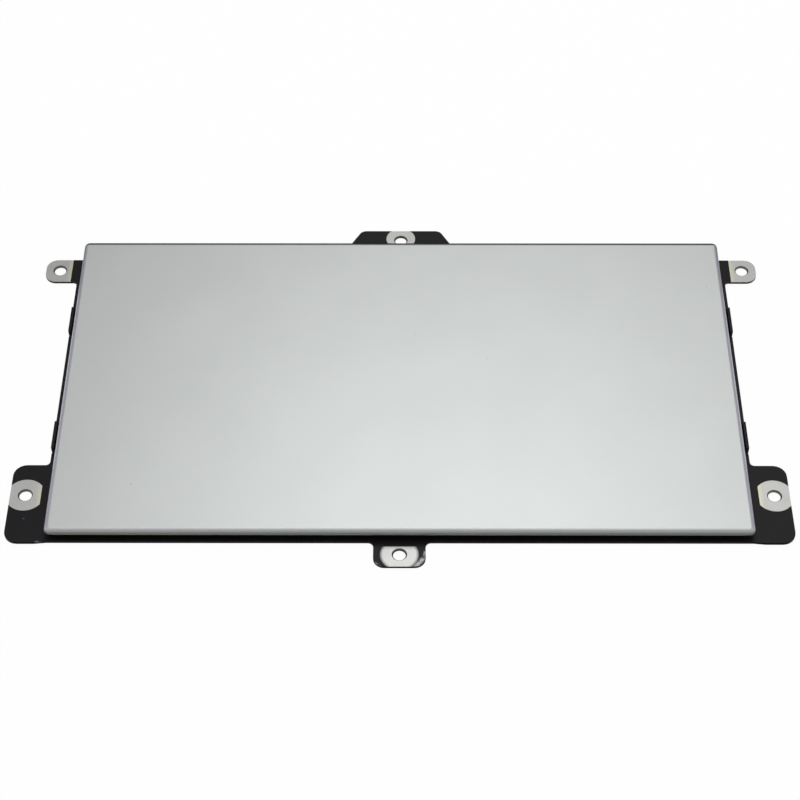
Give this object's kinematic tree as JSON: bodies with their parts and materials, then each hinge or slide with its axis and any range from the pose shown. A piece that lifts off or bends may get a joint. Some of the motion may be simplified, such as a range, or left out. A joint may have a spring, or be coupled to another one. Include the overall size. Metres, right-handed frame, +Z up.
{
  "type": "laptop trackpad module",
  "caption": "Flat clickable trackpad: satin silver glass over a black steel bracket with screw tabs round its edge, hinged at the rear and pressed at the front.",
  "frame": {"origin": "below the middle of the touch glass, on the plane of the bracket's lowest beads", "axes": "+X to the user's right along the long side, +Y away from the user towards the hinge, +Z up out of the touch surface"},
  "size_m": [0.1298, 0.0764, 0.0034],
  "materials": {
    "silver_glass": "satin, etched, sprayed silver behind and at the edge",
    "adhesive_film": "clear film",
    "circuit_board": "solder mask",
    "stainless_sheet": "rolled",
    "spring_steel": "rolled",
    "rivet_steel": "formed",
    "chip_package": "moulded",
    "capacitor_ceramic": "fired",
    "resistor_body": "glazed",
    "ivory_plastic": "moulded",
    "dark_plastic": "moulded",
    "plunger_plastic": "moulded",
    "gold_contact": "gold flash",
    "tinned_metal": "tinned",
    "black_coated_steel": "satin black coat, bare at the screw lands",
    "black_rubber": "matt"
  },
  "bodies": {
    "bracket": {"mounting_bracket": "black_coated_steel", "hinge_leaf_left": "spring_steel", "hinge_leaf_right": "spring_steel", "hinge_rivets": "rivet_steel", "bumper_left": "black_rubber", "bumper_right": "black_rubber"},
    "pad": {"touch_glass": "silver_glass", "glass_bond_film": "adhesive_film", "sensor_board": "circuit_board", "support_bond_film": "adhesive_film", "support_plate": "stainless_sheet", "touch_controller": "chip_package", "supply_regulator": "chip_package", "board_capacitors": "capacitor_ceramic", "board_resistors": "resistor_body", "socket_housing": "ivory_plastic", "socket_contacts": "gold_contact", "socket_anchors": "tinned_metal", "switch_base": "dark_plastic", "switch_dome": "stainless_sheet", "switch_cover": "stainless_sheet", "switch_terminals": "tinned_metal"},
    "plunger": {"switch_plunger": "plunger_plastic"},
    "latch": {"socket_latch": "dark_plastic"}
  },
  "joints": [
    {"name": "pad_click", "type": "hinge", "parent": "bracket", "child": "pad", "pos_m": [0, 0.0254, 0.00115], "axis": [1, 0, 0], "range_deg": [0, 0.3], "stiffness_Nm_per_rad": 5, "springref_deg": -0.26, "deforming": ["hinge_leaf_left", "hinge_leaf_right"]},
    {"name": "plunger_slide", "type": "slide", "parent": "pad", "child": "plunger", "axis": [0, 0, 1], "range_m": [0, 0.0003], "deforming": ["switch_dome"]},
    {"name": "latch_flip", "type": "hinge", "parent": "pad", "child": "latch", "pos_m": [-0.01, 0.0105, 0.00086], "axis": [-1, 0, 0], "range_deg": [0, 90]}
  ],
  "couplings": [
    {"joint": "plunger_slide", "follows": "pad_click", "m_per_rad": 0.0514}
  ]
}
